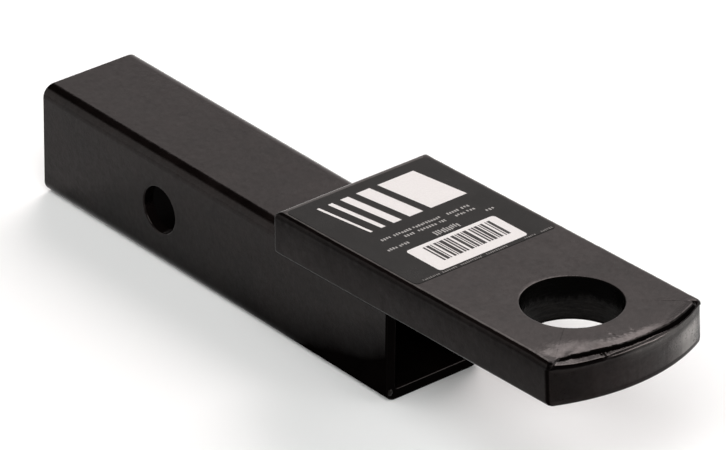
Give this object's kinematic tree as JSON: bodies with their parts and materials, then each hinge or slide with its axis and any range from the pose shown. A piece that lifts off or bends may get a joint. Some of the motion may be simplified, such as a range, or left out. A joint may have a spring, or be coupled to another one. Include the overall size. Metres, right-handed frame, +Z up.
{
  "type": "ball mount",
  "caption": "Straight ball mount: square tube shank with a hitch pin hole, and a flat bar platform with a ball hole welded on top of its forward end.",
  "frame": {"origin": "centre of the hitch pin hole, on the axis of the square shank", "axes": "+X along the shank toward the ball, +Y along the pin hole to the far side, +Z up, square to the shank's top face"},
  "size_m": [0.2152, 0.05, 0.0471],
  "materials": {
    "black_paint": "satin",
    "platform_paint": "satin",
    "weld_paint": "satin",
    "label_film": "satin"
  },
  "bodies": {
    "root": {"shank_tube": "black_paint", "ball_platform": "platform_paint", "rear_weld": "weld_paint", "near_side_weld": "weld_paint", "far_side_weld": "weld_paint", "mouth_weld": "weld_paint", "label": "label_film"}
  },
  "joints": []
}
